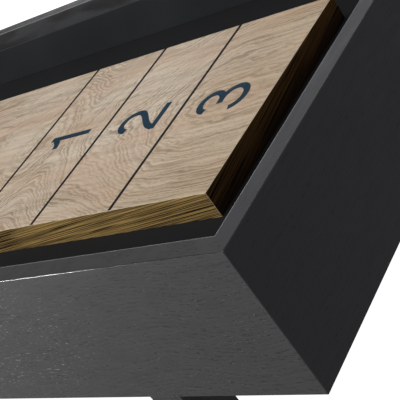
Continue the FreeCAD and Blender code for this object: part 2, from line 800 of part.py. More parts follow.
aprons()
gutters()
end_bearers()
corner_posts()
cross_members()
angle_brackets()
playfield()
adjusters()
leg_frames()
levelling_feet()
check_and_write()
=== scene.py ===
"""The looks of a twelve foot shuffleboard table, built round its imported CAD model.

Everything is in metres in the CAD model's own frame: X along the table, Y across it from the near side to
the far side, Z up, with the origin on the floor under the table's middle.
"""

import math
import bpy
from mathutils import Matrix, Quaternion, Vector


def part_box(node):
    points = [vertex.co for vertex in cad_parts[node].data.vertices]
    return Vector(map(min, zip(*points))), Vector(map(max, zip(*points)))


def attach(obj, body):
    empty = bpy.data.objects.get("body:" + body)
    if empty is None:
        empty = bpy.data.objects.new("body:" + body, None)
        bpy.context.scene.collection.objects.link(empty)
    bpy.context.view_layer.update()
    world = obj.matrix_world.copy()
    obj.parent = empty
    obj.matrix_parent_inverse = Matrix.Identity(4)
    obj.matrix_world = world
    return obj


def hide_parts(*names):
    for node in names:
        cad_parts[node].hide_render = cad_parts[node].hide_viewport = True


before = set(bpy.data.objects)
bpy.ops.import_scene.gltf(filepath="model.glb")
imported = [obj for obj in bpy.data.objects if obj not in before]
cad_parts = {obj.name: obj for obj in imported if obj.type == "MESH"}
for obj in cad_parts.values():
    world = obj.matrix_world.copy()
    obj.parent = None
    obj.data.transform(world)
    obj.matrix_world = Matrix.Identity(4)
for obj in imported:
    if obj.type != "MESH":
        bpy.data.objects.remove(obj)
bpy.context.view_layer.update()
scene = bpy.context.scene
scene.view_settings.view_transform = "Standard"

MM = 0.001


def linear(hex_colour):
    """A colour given as six hex digits in sRGB, as the linear colour with alpha that shaders take."""
    parts = [int(hex_colour[i:i + 2], 16) / 255 for i in (0, 2, 4)]
    return (*[c / 12.92 if c <= 0.04045 else ((c + 0.055) / 1.055) ** 2.4 for c in parts], 1.0)


# ---------------------------------------------------------------- material nodes


class Tree:
    """A material's node tree, with a short method for each kind of node that the finishes use."""

    def __init__(self, name):
        self.material = bpy.data.materials.new(name)
        self.material.use_nodes = True
        self.graph = self.material.node_tree
        self.graph.nodes.clear()

    def node(self, kind, inputs, **settings):
        """Adds a node whose inputs, by socket name or number, are values or other nodes' outputs."""
        made = self.graph.nodes.new("ShaderNode" + kind)
        for key, value in settings.items():
            setattr(made, key, value)
        for key, value in inputs.items():
            if isinstance(value, bpy.types.NodeSocket):
                self.graph.links.new(value, made.inputs[key])
            else:
                made.inputs[key].default_value = value
        return made

    def place(self, middle=(0, 0, 0), along="x"):
        """Where a point lies from the middle given, turned so that the direction named becomes X."""
        turn = {"x": (0, 0, 0), "y": (0, 0, -math.pi / 2), "z": (0, math.pi / 2, 0)}[along]
        here = self.node("TexCoord", {}).outputs["Object"]
        centred = self.vector("SUBTRACT", here, middle)
        return self.node("Mapping", {"Vector": centred, "Rotation": turn}).outputs[0]

    def number(self, operation, a, b=0.0):
        return self.node("Math", {0: a, 1: b}, operation=operation).outputs[0]

    def vector(self, operation, a, b=(0, 0, 0)):
        made = self.node("VectorMath", {0: a, 1: b}, operation=operation)
        return made.outputs["Value" if operation in ("LENGTH", "DOT_PRODUCT") else "Vector"]

    def noise(self, place, stretch, detail=2.0, roughness=0.5, output="Fac"):
        """Noise with stretch features to the metre along each axis."""
        scaled = self.vector("MULTIPLY", place, stretch)
        inputs = {"Vector": scaled, "Scale": 1.0, "Detail": detail, "Roughness": roughness}
        return self.node("TexNoise", inputs).outputs[output]

    def rise(self, value, low, high, at_low=0.0, at_high=1.0):
        """A smooth change from at_low to at_high while the value goes from low to high."""
        inputs = {"Value": value, 1: low, 2: high, 3: at_low, 4: at_high}
        return self.node("MapRange", inputs, interpolation_type="SMOOTHSTEP").outputs[0]

    def mix(self, share, first, second):
        """Two colours mixed, all first at a share of 0."""
        inputs = {0: share, 6: first, 7: second}
        return self.node("Mix", inputs, data_type="RGBA").outputs[2]

    def bump(self, height, depth, normal=None):
        """The normal of a surface that stands up by depth where the height is 1."""
        inputs = {"Height": height, "Distance": depth, "Strength": 1.0}
        if normal is not None:
            inputs["Normal"] = normal
        return self.node("Bump", inputs).outputs[0]

    def finish(self, **inputs):
        """Ends the tree in one shader and returns the material."""
        named = {key.replace("_", " "): value for key, value in inputs.items()}
        shader = self.node("BsdfPrincipled", named)
        self.node("OutputMaterial", {0: shader.outputs[0]})
        return self.material


# ---------------------------------------------------------------- wood


def scaled(colour, factor):
    """A linear colour made lighter or darker."""
    return (*[part * factor for part in colour[:3]], 1.0)


def middle_of(node):
    low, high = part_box(node)
    return (low + high) / 2


def long_axis(node):
    """The direction of a board's longest side, which its grain follows."""
    low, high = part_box(node)
    size = list(high - low)
    return "xyz"[size.index(max(size))]


class Grain:
    """The growth rings, pores and fibres of one board, shared by its colour, roughness and relief.

    ring is the width of a ring and pith the place of the tree's pith from the board's middle. lean is how
    steeply the pith rises along the board, and sweep how far it also rises and falls on the way, which is
    what draws pointed arches on a flat sawn face. The sweep is small about the board's middle, and dies away
    again between the two distances from the middle given as calm. flutes corrugates the rings along the
    grain, so that the arches have ragged tips, and ripple is how far they waver on a small scale.
    """

    def __init__(self, tree, middle, along, seed, ring, pith, lean=0.0, sweep=0.0, calm=(8, 9),
                 flutes=2 * MM, ripple=3 * MM):
        self.tree = tree
        here = tree.place(middle, along)
        self.along_board = tree.node("SeparateXYZ", {0: here}).outputs[0]
        slant = tree.node("CombineXYZ", {0: seed * 3.7, 2: tree.number("MULTIPLY", self.along_board, lean)})
        self.place = tree.vector("ADD", here, slant.outputs[0])
        broad = self.wander((2.2, 6, 6), 30 * MM)
        fine = self.wander((30, 45, 45), ripple)
        moved = tree.vector("ADD", tree.vector("ADD", self.place, broad), fine)
        apart = tree.node("SeparateXYZ", {0: moved}).outputs
        bend = tree.noise(tree.node("CombineXYZ", {0: apart[0]}).outputs[0], (4.5, 1, 1), 1.0)
        from_middle = tree.number("ABSOLUTE", self.along_board)
        reach = tree.rise(from_middle, *calm, sweep, 0.0)
        reach = tree.number("MULTIPLY", reach, tree.rise(from_middle, 0.5, 1.1, 0.3, 1.0))
        rise = tree.number("MULTIPLY", bend, reach)
        fluting = tree.noise(self.place, (9, 42, 42), 3.0, 0.62)
        rise = tree.number("ADD", rise, tree.number("MULTIPLY", fluting, flutes))
        across = tree.number("SUBTRACT", apart[1], pith[0])
        up = tree.number("SUBTRACT", tree.number("ADD", apart[2], rise), pith[1])
        section = tree.node("CombineXYZ", {1: across, 2: up}).outputs[0]
        rings = tree.number("DIVIDE", tree.vector("LENGTH", section), ring)
        # good and poor years make wide and narrow rings
        years = tree.noise(tree.node("CombineXYZ", {0: rings}).outputs[0], (0.35, 1, 1), 1.0)
        rings = tree.number("ADD", rings, tree.number("MULTIPLY", years, 2.6))
        # early wood, porous and dark, fades into late wood, and then the next ring starts sharply
        growth = tree.number("FRACT", rings)
        rising = tree.rise(growth, 0.0, 0.30)
        self.early = tree.number("MULTIPLY", rising, tree.rise(growth, 0.30, 1.0, 1.0, 0.0))
        tone_place = tree.node("CombineXYZ", {0: rings, 1: self.along_board}).outputs[0]
        self.ring_tone = tree.noise(tone_place, (0.45, 7, 1), 2.0)

    def wander(self, stretch, reach):
        """A smooth shift of up to about half the reach each way."""
        cloud = self.tree.noise(self.place, stretch, 2.0, 0.55, "Color")
        centred = self.tree.vector("SUBTRACT", cloud, (0.5, 0.5, 0.5))
        return self.tree.vector("MULTIPLY", centred, (reach, reach, reach))

    def pores(self, length, width, share, gathered=0.10):
        """1 in the pores, which are short dashes along the grain, gathered more or less in the early wood."""
        dashes = self.tree.noise(self.place, (1 / length, 1 / width, 1 / width), 1.0)
        level = self.tree.number("ADD", dashes, self.tree.number("MULTIPLY", self.early, gathered))
        return self.tree.rise(level, 0.80 - share, 0.86 - share)

    def streaks(self, across=260, along=5):
        """Faint long streaks of lighter and darker fibre."""
        return self.tree.noise(self.place, (along, across, across), 3.0, 0.6)

    def clouds(self):
        return self.tree.noise(self.place, (2.5, 7, 7), 2.0)


def facing(tree):
    """How far a surface faces along X, Y and Z, either way."""
    normal = tree.node("TexCoord", {}).outputs["Normal"]
    return tree.node("SeparateXYZ", {0: tree.vector("ABSOLUTE", normal)}).outputs


def rounded_edges(tree):
    """1 on the narrow roundings between faces, and 0 on every flat face square to the frame."""
    parts = facing(tree)
    largest = tree.number("MAXIMUM", tree.number("MAXIMUM", parts[0], parts[1]), parts[2])
    return tree.rise(largest, 0.93, 0.997, 1.0, 0.0)


def outer_side(tree):
    """1 where a surface turns away from the table's middle in plan, and 0 where it turns towards it."""
    outputs = tree.node("TexCoord", {}).outputs
    in_plan = tree.vector("MULTIPLY", outputs["Normal"], (1, 1, 0))
    return tree.rise(tree.vector("DOT_PRODUCT", in_plan, outputs["Object"]), -0.01, 0.01)


def painted_wood(name, middle, along, seed, paint, open_grain=0.11, dust_and_glints=0.0, inner_edge=None):
    """Thin satin paint over open-grained wood, whose pores stay open, and on some boards hold pale dust and
    painted glints of light.

    inner_edge is the axis across a board, as a number, and how far from the table's middle its inner face
    lies: a painted highlight runs along its upper edge there.
    """
    tree = Tree(name)
    grain = Grain(tree, middle, along, seed, ring=6 * MM, pith=(0.03, -0.16), sweep=140 * MM, flutes=5 * MM)
    pores = grain.pores(8 * MM, 1.0 * MM, open_grain, gathered=0.16)
    streaks = grain.streaks()
    clouds = grain.clouds()
    tone = tree.mix(tree.rise(streaks, 0.3, 0.7), scaled(paint, 0.98), scaled(paint, 1.02))
    tone = tree.mix(tree.rise(clouds, 0.35, 0.65), tone, scaled(paint, 0.96))
    tone = tree.mix(tree.number("MULTIPLY", grain.early, 0.16), tone, scaled(paint, 0.6))
    tone = tree.mix(tree.number("MULTIPLY", pores, 0.75), tone, scaled(paint, 0.22))
    arris = rounded_edges(tree)
    outward = outer_side(tree)
    upright = tree.rise(facing(tree)[2], 0.1, 0.5, 1.0, 0.0)
    # a haze lies on the faces over the gutter, where no cloth reaches
    hazy = tree.number("MULTIPLY", tree.number("SUBTRACT", 1.0, outward), upright)
    haze = tree.rise(tree.noise(grain.place, (9, 40, 40), 3.0), 0.35, 0.65, 0.08, 0.55)
    tone = tree.mix(tree.number("MULTIPLY", hazy, haze), tone, scaled(HAZE, 1.2))
    # painted shade: a dark line along the outer rounded edges; painted highlight: a pale line along the inner
    # ones
    arris_shade_and_highlight = tree.mix(outward, scaled(paint, 4.0), scaled(paint, 0.15))
    tone = tree.mix(tree.number("MULTIPLY", arris, 0.85), tone, arris_shade_and_highlight)
    if inner_edge:
        axis, inner_face = inner_edge
        here = tree.node("SeparateXYZ", {0: tree.node("TexCoord", {}).outputs["Object"]}).outputs[axis]
        from_middle = tree.number("ABSOLUTE", here)
        # a painted highlight along the inner upper edge
        inner_highlight = tree.rise(from_middle, inner_face + 0.5 * MM, inner_face + INNER_HIGHLIGHT_WIDTH, 0.8, 0.0)
        inner_highlight = tree.number("MULTIPLY", inner_highlight, tree.number("SUBTRACT", 1.0, upright))
        # the painted highlight is made stronger on the end aprons
        tone = tree.mix(inner_highlight, tone, scaled(paint, 12.0 if along == "y" else 6.0))
    if dust_and_glints:
        # pale dust in the pores, with painted glints of light, only on the part of the board away from its
        # corners
        dust_and_glint_reach = tree.rise(tree.number("ABSOLUTE", grain.along_board), 1.44, 1.66, 1.0, 0.0)
        area = tree.rise(tree.noise(grain.place, (6, 14, 14), 1.0), 0.40, 0.62)
        dust_and_glint_mask = tree.number("MULTIPLY", grain.pores(8 * MM, 0.9 * MM, share=0.03, gathered=0.14), area)
        dust_and_glint_mask = tree.number("MULTIPLY", dust_and_glint_mask, tree.number("MULTIPLY", dust_and_glint_reach, upright))
        tone = tree.mix(tree.number("MULTIPLY", dust_and_glint_mask, dust_and_glints), tone, DUST_AND_GLINT)
    relief = tree.number("SUBTRACT", tree.number("MULTIPLY", streaks, 0.03), pores)
    relief = tree.number("MULTIPLY", relief, tree.number("SUBTRACT", 1.0, arris))
    rough = tree.rise(tree.noise(grain.place, (20, 90, 90), 3.0), 0.3, 0.7, 0.42, 0.50)
    rough = tree.node("Mix", {0: arris, 2: rough, 3: 0.09}).outputs[0]
    return tree.finish(
        Base_Color=tone,
        Roughness=rough,
        Normal=tree.bump(relief, 0.10 * MM),
        Specular_IOR_Level=0.38,
        Coat_Weight=arris,
        Coat_Roughness=0.08,
        Coat_IOR=1.7,
    )


def wood_tone(tree, grain, light, dark, contrast=1.0):
    """The colour of clear or bare wood between a light and a dark tone, and the mask of its pores."""
    pores = grain.pores(6 * MM, 0.45 * MM, share=0.17)
    figure = tree.number("MULTIPLY", grain.early, tree.rise(grain.ring_tone, 0.35, 0.65, 0.12, 1.0))
    share = tree.number("MULTIPLY", figure, 0.54 * contrast)
    share = tree.number("ADD", share, tree.rise(grain.streaks(90, 6), 0.35, 0.7, 0.0, 0.35))
    share = tree.number("ADD", share, tree.rise(grain.clouds(), 0.4, 0.7, 0.0, 0.20))
    tone = tree.mix(share, light, dark)
    return tree.mix(tree.number("MULTIPLY", pores, 0.55), tone, scaled(dark, 0.55)), pores


def edge_wood_tone(tree, grain, light, dark):
    """The colour of an edge strip: many thin dark lines of early wood, and broader golden streaks."""
    lines = tree.rise(tree.noise(grain.place, (5, 1030, 1030), 0.0), 0.51, 0.58, 0.0, 1.0)
    hairs = tree.rise(tree.noise(grain.place, (8, 1800, 1800), 0.0), 0.48, 0.60, 0.0, 0.60)
    broad = tree.rise(grain.streaks(240, 4), 0.35, 0.65, -0.06, 0.18)
    share = tree.number("ADD", tree.number("MAXIMUM", lines, hairs), broad)
    share = tree.number("ADD", share, tree.number("MULTIPLY", grain.early, 0.10))
    shade = tree.node("Clamp", {0: share}).outputs[0]
    return tree.mix(shade, light, dark)


def finish_wood(tree, grain, tone, pores, gloss, pore_depth, coat=0.0):
    """Ends a wood's tree, with a little relief from its fibres and hollows at its pores."""
    relief = tree.number("SUBTRACT", tree.number("MULTIPLY", grain.streaks(), 0.3), pores)
    rough = tree.rise(tree.noise(grain.place, (15, 70, 70), 2.0), 0.3, 0.7, gloss, gloss + 0.12)
    return tree.finish(
        Base_Color=tone,
        Roughness=rough,
        Normal=tree.bump(relief, pore_depth),
        Specular_IOR_Level=0.35,
        Coat_Weight=coat,
        Coat_Roughness=0.3,
    )


def playfield_grain(tree):
    """The figure of the playfield's top, which runs on over the upper edges of its lippings."""
    middle = middle_of("playfield_top_layer")
    return Grain(tree, middle, "x", seed=5, ring=4.2 * MM, pith=(0.01, -0.17), sweep=200 * MM,
                 calm=(1.24, 1.56), flutes=15 * MM, ripple=7 * MM)


def oak_tone(tree, grain):
    """Clear finished oak, here and there a little pinker or greyer."""
    tone, pores = wood_tone(tree, grain, OAK_LIGHT, OAK_DARK, contrast=1.15)
    patches = tree.noise(grain.place, (5, 16, 16), 2.0)
    tone = tree.mix(tree.rise(patches, 0.35, 0.7, 0.0, 0.35), tone, OAK_PINK)
    # the ends of the board are a little darker and warmer than the rest
    from_middle = tree.number("ABSOLUTE", grain.along_board)
    tint = tree.mix(tree.rise(from_middle, 1.40, 1.60), OAK_PALER, OAK_WARMER)
    return tree.vector("MULTIPLY", tone, tint), pores


def oak_top(name):
    tree = Tree(name)
    grain = playfield_grain(tree)
    tone, pores = oak_tone(tree, grain)
    return finish_wood(tree, grain, tone, pores, gloss=0.42, pore_depth=0.04 * MM, coat=0.15)


def lipping(name, along, light, dark, foot_shade=0.0):
    """An edge strip with its own long grain on its side, and the playfield's figure on its upper edge.

    foot_shade is how strong a painted shade is on its side, darkest at its lower edge by the gutter and gone
    near its upper one.
    """
    tree = Tree(name)
    edge_grain = Grain(tree, middle_of(name), along, seed=9, ring=4 * MM, pith=(0.0, 0.20), lean=-0.09)
    edge_tone = edge_wood_tone(tree, edge_grain, light, dark)
    height = tree.node("SeparateXYZ", {0: tree.place(middle_of(name))}).outputs[2]
    # painted shade, darkest at the side's lower edge, where the gutter shades it
    shade_height = tree.number("ADD", height, tree.number("MULTIPLY", edge_grain.streaks(400, 6), 12 * MM))
    edge_tone = tree.mix(tree.rise(shade_height, -14 * MM, 20 * MM, foot_shade, 0.0), edge_tone, scaled(dark, 0.7))
    top_tone, pores = oak_tone(tree, playfield_grain(tree))
    normal = tree.node("TexCoord", {}).outputs["Normal"]
    facing_up = tree.rise(tree.node("SeparateXYZ", {0: normal}).outputs[2], 0.20, 0.50)
    tone = tree.mix(facing_up, edge_tone, top_tone)
    # the rounded edges are paler: partly wear, partly a painted highlight
    tone = tree.mix(tree.number("MULTIPLY", rounded_edges(tree), 0.85), tone, OAK_WORN_AND_HIGHLIGHT)
    return finish_wood(tree, edge_grain, tone, pores, gloss=0.45, pore_depth=0.04 * MM)


def softwood(name, along, seed):
    """Planed pine with wide soft rings and the odd darker board."""
    tree = Tree(name)
    grain = Grain(tree, middle_of(name), along, seed, ring=5.5 * MM, pith=(0.01, 0.06), lean=0.03)
    warm = 1.0 - 0.06 * (seed % 3)
    tone, pores = wood_tone(tree, grain, scaled(PINE_LIGHT, warm), scaled(PINE_DARK, warm), 1.3)
    return finish_wood(tree, grain, tone, pores, gloss=0.6, pore_depth=0.03 * MM)


def glued_strips(name, strip_width):
    """Hardwood strips glued side by side along the playfield, each with a tone of its own."""
    tree = Tree(name)
    grain = Grain(tree, middle_of(name), "x", 3, ring=3.4 * MM, pith=(0.02, 0.10), lean=0.04)
    across = tree.node("SeparateXYZ", {0: grain.place}).outputs[1]
    count = tree.number("DIVIDE", across, strip_width)
    which = tree.number("FLOOR", count)
    strip_tone = tree.node("TexWhiteNoise", {"W": which}, noise_dimensions="1D").outputs["Value"]
    tone, pores = wood_tone(tree, grain, STRIP_LIGHT, STRIP_DARK)
    tone = tree.mix(tree.rise(strip_tone, 0.0, 1.0, 0.0, 0.35), tone, STRIP_DARKER)
    from_joint = tree.number("PINGPONG", count, 0.5)
    joint = tree.rise(from_joint, 0.0, 0.02, 1.0, 0.0)
    tone = tree.mix(tree.number("MULTIPLY", joint, 0.7), tone, GLUE_LINE)
    hollows = tree.number("MAXIMUM", pores, joint)
    return finish_wood(tree, grain, tone, hollows, gloss=0.5, pore_depth=0.05 * MM)


# ---------------------------------------------------------------- other finishes


def painted_panel(name, paint, texture, depth, rough):
    """Matt paint with a fine even texture, texture features to the metre, and faint clouds."""
    tree = Tree(name)
    place = tree.place()
    clouds = tree.noise(place, (7, 7, 7), 3.0)
    grit = tree.noise(place, (texture, texture, texture), 3.0, 0.6)
    tone = tree.mix(tree.rise(clouds, 0.3, 0.7), scaled(paint, 0.86), scaled(paint, 1.10))
    tone = tree.mix(tree.rise(grit, 0.5, 0.8, 0.0, 0.5), tone, scaled(paint, 1.5))
    roughness = tree.rise(grit, 0.3, 0.7, rough - 0.08, rough + 0.08)
    return tree.finish(
        Base_Color=tone,
        Roughness=roughness,
        Normal=tree.bump(grit, depth),
        Specular_IOR_Level=0.25,
    )


def plated_steel(name, colour, rough=0.3):
    """Zinc plated steel: cloudy, finely scratched, duller where it is handled."""
    tree = Tree(name)
    place = tree.place()
    clouds = tree.noise(place, (60, 60, 60), 4.0, 0.6)
    scratches = tree.noise(place, (150, 2200, 900), 2.0)
    tone = tree.mix(tree.rise(clouds, 0.3, 0.75), colour, scaled(colour, 0.72))
    roughness = tree.number("ADD", tree.rise(clouds, 0.3, 0.7, rough, rough + 0.15),
                            tree.rise(scratches, 0.4, 0.8, 0.0, 0.08))
    return tree.finish(
        Base_Color=tone,
        Metallic=1.0,
        Roughness=roughness,
        Normal=tree.bump(scratches, 0.01 * MM),
    )


def moulded_plastic(name, colour):
    """Black plastic with a fine spark-eroded texture, scuffed in places."""
    tree = Tree(name)
    place = tree.place()
    grit = tree.noise(place, (1600, 1600, 1600), 2.0)
    scuffs = tree.rise(tree.noise(place, (90, 90, 300), 4.0, 0.7), 0.58, 0.72)
    tone = tree.mix(tree.number("MULTIPLY", scuffs, 0.35), colour, scaled(colour, 3.0))
    dullness = tree.number("MULTIPLY", scuffs, 0.15)
    roughness = tree.number("ADD", tree.rise(grit, 0.3, 0.7, 0.42, 0.55), dullness)
    return tree.finish(
        Base_Color=tone,
        Roughness=roughness,
        Normal=tree.bump(grit, 0.03 * MM),
        Specular_IOR_Level=0.5,
    )


def printed_ink(name, colour):
    """Ink under the lacquer: a little uneven, and thinner over the wood's pores."""
    tree = Tree(name)
    grain = playfield_grain(tree)
    pores = grain.pores(6 * MM, 0.45 * MM, share=0.17)
    patches = tree.noise(grain.place, (90, 220, 220), 3.0)
    tone = tree.mix(tree.rise(patches, 0.35, 0.7), scaled(colour, 0.85), scaled(colour, 1.35))
    tone = tree.mix(tree.number("MULTIPLY", pores, 0.1), tone, OAK_DARK)
    roughness = tree.rise(patches, 0.3, 0.7, 0.5, 0.62)
    return tree.finish(
        Base_Color=tone,
        Roughness=roughness,
        Normal=tree.bump(pores, -0.03 * MM),
        Specular_IOR_Level=0.06,
    )


# ---------------------------------------------------------------- finishes on the CAD nodes

CHARCOAL = linear("3d3d3e")
# a darker, bluer copy of the charcoal paint for the end aprons: painted shade
SHADED_CHARCOAL = linear("3a3b3f")
HAZE = linear("606468")
# the colour of pale dust and of painted glints of light in the pores
DUST_AND_GLINT = linear("b4b4b2")
# the width of the painted highlight along the aprons' inner upper edges
INNER_HIGHLIGHT_WIDTH = 2.0 * MM
LINER_PAINT = linear("3a3c3f")
GUTTER_PAINT = linear("18191b")
OAK_LIGHT = linear("dfcbb0")
OAK_DARK = linear("967a5c")
OAK_PINK = linear("d2ab8a")
# the pale of worn oak edges, partly a painted highlight
OAK_WORN_AND_HIGHLIGHT = linear("efe0c2")
# factors on the oak's colour, in the middle of the board and at its ends
OAK_PALER = (1.08, 1.12, 1.19, 1.0)
OAK_WARMER = (0.93, 0.91, 0.87, 1.0)
EDGE_LIGHT, EDGE_DARK = linear("f2c87c"), linear("1f1408")
# the end lippings are the same oak as the side ones in darker colours: partly a darker wood, partly painted
# shade of the gutter
SHADED_END_LIGHT, SHADED_END_DARK = linear("a5743c"), linear("080401")
PINE_LIGHT, PINE_DARK = linear("d9bd8c"), linear("a9794a")
STRIP_LIGHT, STRIP_DARK, STRIP_DARKER = linear("cfae80"), linear("9a7146"), linear("8d6338")
GLUE_LINE = linear("4a321c")
ZINC = linear("c9cccf")
YELLOW_ZINC = linear("c8b98a")
POWDER_COAT = linear("2b2b2c")
FOOT_PLASTIC = linear("232324")
DIGIT_INK = linear("0d3348")
LINE_INK = linear("060c16")


def nodes_named(*prefixes):
    """The CAD nodes whose names start with any of the words given, in order."""
    return [name for name in sorted(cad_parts) if name.startswith(prefixes)]


def dress(node, material):
    """Gives a CAD node one material."""
    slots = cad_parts[node].data.materials
    slots.clear()
    slots.append(material)


def ease(node, width):
    """Rounds a CAD node's sharp edges by a small width, without moving its faces."""
    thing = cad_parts[node]
    weld = thing.modifiers.new("weld", "WELD")
    weld.merge_threshold = 0.01 * MM
    bevel = thing.modifiers.new("ease", "BEVEL")
    bevel.width = width
    bevel.segments = 2
    bevel.limit_method = "ANGLE"
    bevel.angle_limit = math.radians(40)
    bevel.harden_normals = True


def inner_edge_of(apron):
    """The axis across an apron and the distance of its inner face from the table's middle."""
    low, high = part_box(apron)
    axis = 0 if apron.endswith("_end") else 1
    return axis, min(abs(low[axis]), abs(high[axis]))


def dress_cradle():
    frames = ["leg_top_rail_left", "leg_top_rail_right", "leg_stretcher_left", "leg_stretcher_right"]
    legs = nodes_named("leg_left", "leg_right")
    for seed, node in enumerate(nodes_named("apron_") + legs + frames):
        end_apron = node.endswith("_end")
        # the end aprons take the copy of the paint with painted shade
        paint = SHADED_CHARCOAL if end_apron else CHARCOAL
        open_grain = 0.03 if end_apron else 0.11
        dust_and_glints = 0.8 if node == "apron_near" else 0.0
        inner_edge = inner_edge_of(node) if node.startswith("apron_") else None
        along = long_axis(node)
        dress(node, painted_wood(node, middle_of(node), along, seed, paint, open_grain, dust_and_glints, inner_edge))
        ease(node, 0.35 * MM if node.startswith("apron_") else 0.8 * MM)
    liner = painted_panel("gutter_liner", LINER_PAINT, 700, 0.05 * MM, 0.55)
    gutter = painted_panel("gutter_floor", GUTTER_PAINT, 1100, 0.12 * MM, 0.8)
    for node in nodes_named("gutter_liner_"):
        dress(node, liner)
        ease(node, 0.7 * MM)
    for node in nodes_named("gutter_floor_"):
        dress(node, gutter)
    for seed, node in enumerate(nodes_named("ledger_", "end_bearer_", "cross_member_")):
        dress(node, softwood(node, long_axis(node), seed))
        ease(node, 1.0 * MM)
    dress("corner_posts", softwood("corner_posts", "z", 17))
    ease("corner_posts", 1.0 * MM)


def dress_playfield():
    dress("playfield_top_layer", oak_top("playfield_top_layer"))
    dress("playfield_core", glued_strips("playfield_core", 32 * MM))
    for side in ("near", "far"):
        node = f"playfield_lipping_{side}"
        dress(node, lipping(node, "x", EDGE_LIGHT, EDGE_DARK))
    for end in ("left_end", "right_end"):
        node = f"playfield_lipping_{end}"
        dress(node, lipping(node, "y", SHADED_END_LIGHT, SHADED_END_DARK, foot_shade=0.9))


def dress_hardware():
    zinc = plated_steel("zinc", ZINC)
    yellow = plated_steel("yellow_zinc", YELLOW_ZINC)
    black = painted_panel("powder_coat", POWDER_COAT, 1500, 0.06 * MM, 0.45)
    for node in nodes_named("foot_stem_", "leg_frame_bolts", "leg_frame_washers", "angle_brackets",
                            "adjuster_turnbuckle_"):
        dress(node, zinc)
    for node in nodes_named("foot_inserts", "leg_frame_inserts", "angle_bracket_screws", "adjuster_screws",
                            "corner_post_screws"):
        dress(node, yellow)
    dress("adjuster_brackets", black)
    for node in ("angle_brackets", "adjuster_brackets", "leg_frame_bolts", "leg_frame_washers"):
        ease(node, 0.4 * MM)
    plastic = moulded_plastic("foot_plastic", FOOT_PLASTIC)
    for node in nodes_named("foot_pad_"):
        dress(node, plastic)
        ease(node, 0.5 * MM)


# ---------------------------------------------------------------- printed marks

INK_HEIGHT = 0.06 * MM
INK_DEPTH = 0.10 * MM
STROKE_STEP = 0.01 * MM
LINE_WIDTH = 6.0 * MM
# the lines and the middles of the numbers, from the playfield's end
LINE_PLACES = {"a": 167 * MM, "b": 324.7 * MM, "c": 484 * MM}
DIGIT_PLACES = {"3": 88 * MM, "2": 244.6 * MM, "1": 404.1 * MM}
DIGIT_HEIGHT = 88.5 * MM
DIGIT_WIDTH = 0.67
STROKE = 0.124


def arc(centre, radius_across, radius_up, start, end, steps=28):
    """Points along an elliptic arc between two angles in degrees."""
    points = []
    for i in range(steps + 1):
        angle = math.radians(start + (end - start) * i / steps)
        across = centre[0] + radius_across * math.cos(angle)
        points.append((across, centre[1] + radius_up * math.sin(angle)))
    return points


def bezier(a, b, c, d):
    """Points along a cubic curve, without its first one."""
    steps = 16
    points = []
    for i in range(1, steps + 1):
        share = i / steps
        rest = 1 - share
        weights = (rest**3, 3 * rest**2 * share, 3 * rest * share**2, share**3)
        points.append(tuple(sum(w * p[k] for w, p in zip(weights, (a, b, c, d))) for k in (0, 1)))
    return points


def digit_strokes():
    """Each number as the middle lines of its strokes, in parts of its height, from its lower left corner."""
    half = STROKE / 2
    top, right = 1 - half, DIGIT_WIDTH - half
    stem = [(0.424, 0), (0.424, 1)]
    flag = arc((0.125, 1.02), 0.30, 0.30, -28, -90, steps=8)
    bowl = arc((0.345, 0.70), 0.232, top - 0.70, 174, -22)
    tail = bezier(bowl[-1], (0.49, 0.45), (0.10, 0.31), (half, half))
    upper = arc((0.33, 0.737), 0.225, top - 0.737, 174, -80)
    lower = arc((0.335, 0.30), right - 0.335, 0.30 - half, 82, -170)
    return {
        "1": [stem, flag],
        "2": [bowl + tail, [(0, half), (DIGIT_WIDTH, half)]],
        "3": [upper + [(0.245, 0.528)], lower],
    }


def ribbon(path, width):
    """The two sides of a flat stroke along a path, square at its ends."""
    sides = []
    for i, point in enumerate(path):
        before = path[max(i - 1, 0)]
        after = path[min(i + 1, len(path) - 1)]
        along = Vector((after[0] - before[0], after[1] - before[1])).normalized()
        offset = Vector((-along.y, along.x)) * width / 2
        sides.append((Vector(point) + offset, Vector(point) - offset))
    return sides


def ribbon_solid(sides, low, high):
    """Vertices and faces of a thin closed strip between two heights."""
    vertices, faces = [], []
    for left, right in sides:
        for side, level in ((left, high), (right, high), (right, low), (left, low)):
            vertices.append((side.x, side.y, level))
    for i in range(len(sides) - 1):
        for k in range(4):
            a, b = i * 4 + k, i * 4 + (k + 1) % 4
            faces.append((a, b, b + 4, a + 4))
    last = (len(sides) - 1) * 4
    faces.append((3, 2, 1, 0))
    faces.append((last, last + 1, last + 2, last + 3))
    return vertices, faces


def join_solids(name, solids, material):
    """One piece made of several lists of vertices and faces."""
    vertices, faces = [], []
    for more_vertices, more_faces in solids:
        start = len(vertices)
        vertices += more_vertices
        faces += [tuple(start + i for i in face) for face in more_faces]
    mesh = bpy.data.meshes.new(name)
    mesh.from_pydata(vertices, [], faces)
    mesh.materials.append(material)
    piece = bpy.data.objects.new(name, mesh)
    scene.collection.objects.link(piece)
    return piece


